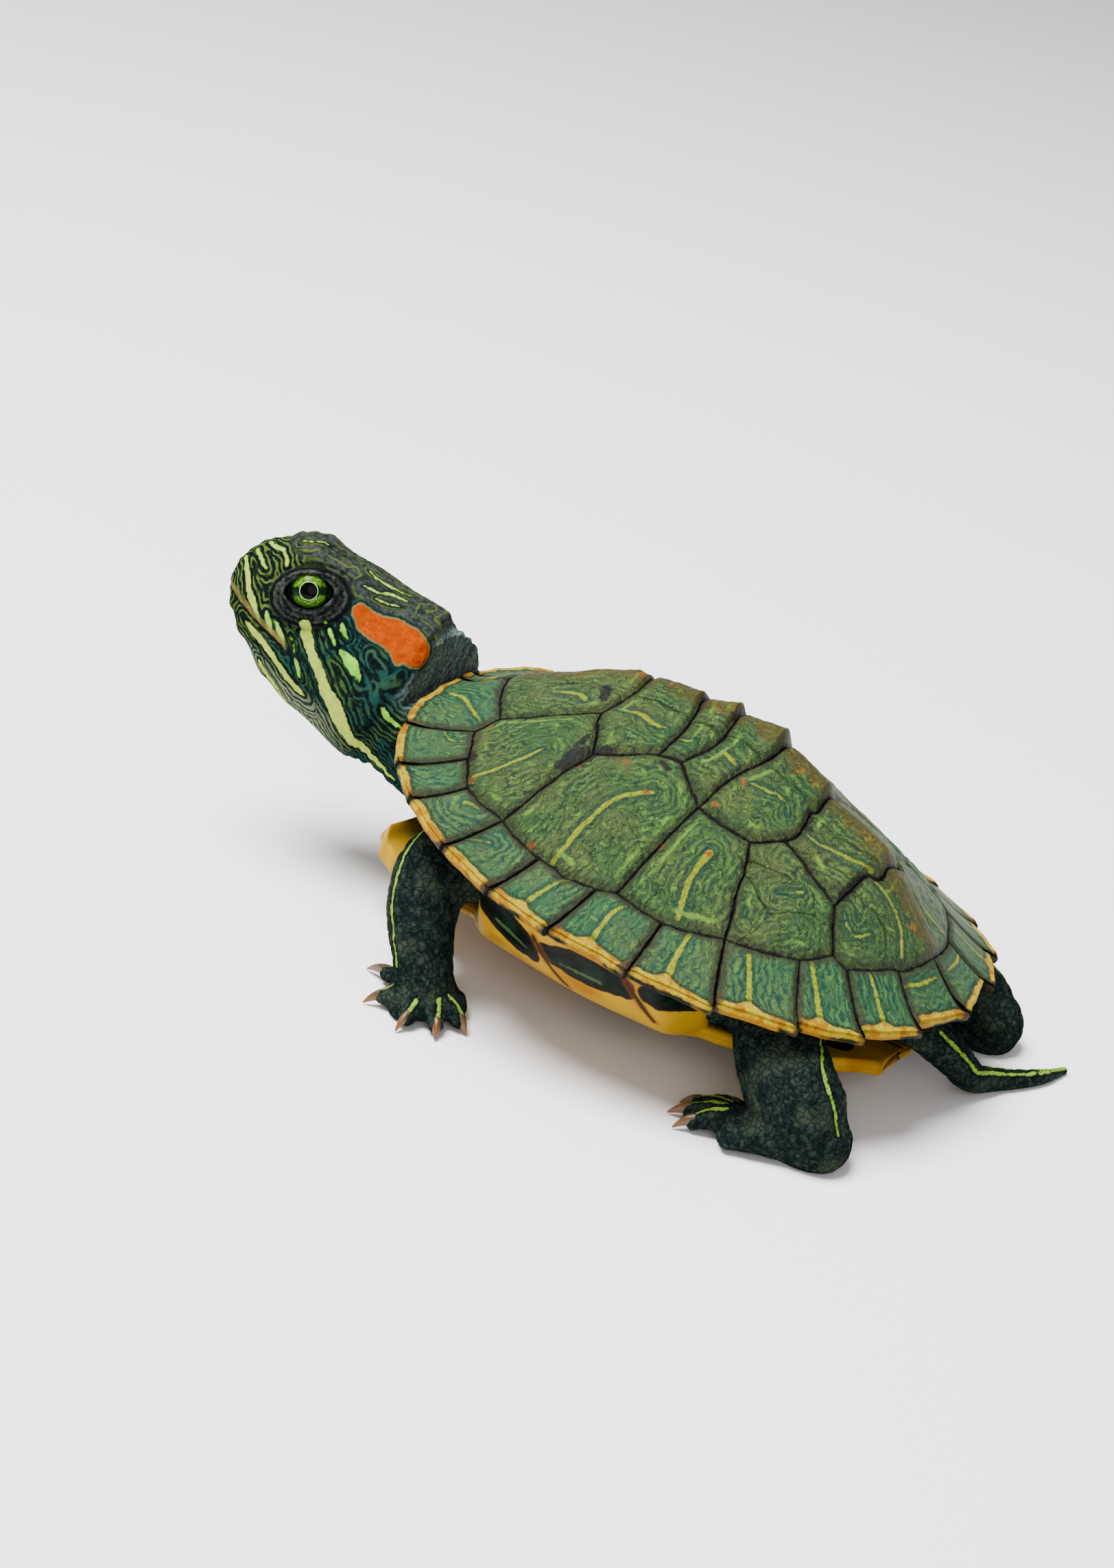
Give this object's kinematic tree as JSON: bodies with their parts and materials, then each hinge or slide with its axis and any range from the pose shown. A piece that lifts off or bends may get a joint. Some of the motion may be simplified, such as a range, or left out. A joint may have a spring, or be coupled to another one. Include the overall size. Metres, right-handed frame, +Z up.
{
  "type": "red-eared slider turtle",
  "caption": "Young red-eared slider turtle, life size, standing with its head raised and turned a little to its left.",
  "frame": {"origin": "on the floor, under the middle of the whole animal's bounding box", "axes": "+X towards the tail, +Y towards the animal's right, +Z up; the head points along -X"},
  "size_m": [0.0662, 0.0416, 0.0256],
  "materials": {
    "carapace": "satin",
    "rim": "satin",
    "plastron": "satin",
    "skin": "matte",
    "eye": "gloss",
    "claw": "satin"
  },
  "bodies": {
    "root": {"cervical": "carapace", "vertebral_1": "carapace", "vertebral_2": "carapace", "vertebral_3": "carapace", "vertebral_4": "carapace", "vertebral_5": "carapace", "vertebral_6": "carapace", "vertebral_7": "carapace", "costal_left_1": "carapace", "costal_right_1": "carapace", "costal_left_2": "carapace", "costal_right_2": "carapace", "costal_left_3": "carapace", "costal_right_3": "carapace", "costal_left_4": "carapace", "costal_right_4": "carapace", "marginal_left_1": "rim", "marginal_right_1": "rim", "marginal_left_2": "rim", "marginal_right_2": "rim", "marginal_left_3": "rim", "marginal_right_3": "rim", "marginal_left_4": "rim", "marginal_right_4": "rim", "marginal_left_5": "rim", "marginal_right_5": "rim", "marginal_left_6": "rim", "marginal_right_6": "rim", "marginal_left_7": "rim", "marginal_right_7": "rim", "marginal_left_8": "rim", "marginal_right_8": "rim", "marginal_left_9": "rim", "marginal_right_9": "rim", "marginal_left_10": "rim", "marginal_right_10": "rim", "marginal_left_11": "rim", "marginal_right_11": "rim", "marginal_left_12": "rim", "marginal_right_12": "rim", "plastron": "plastron", "bridge_left": "plastron", "bridge_right": "plastron", "trunk": "skin", "head": "skin", "jaw": "skin", "eye_left": "eye", "eye_right": "eye", "neck": "skin", "foreleg_left_upper": "skin", "foreleg_left_foot": "skin", "foreleg_right_upper": "skin", "foreleg_right_foot": "skin", "hindleg_left_upper": "skin", "hindleg_left_foot": "skin", "hindleg_right_upper": "skin", "hindleg_right_foot": "skin", "tail": "skin"}
  },
  "joints": []
}
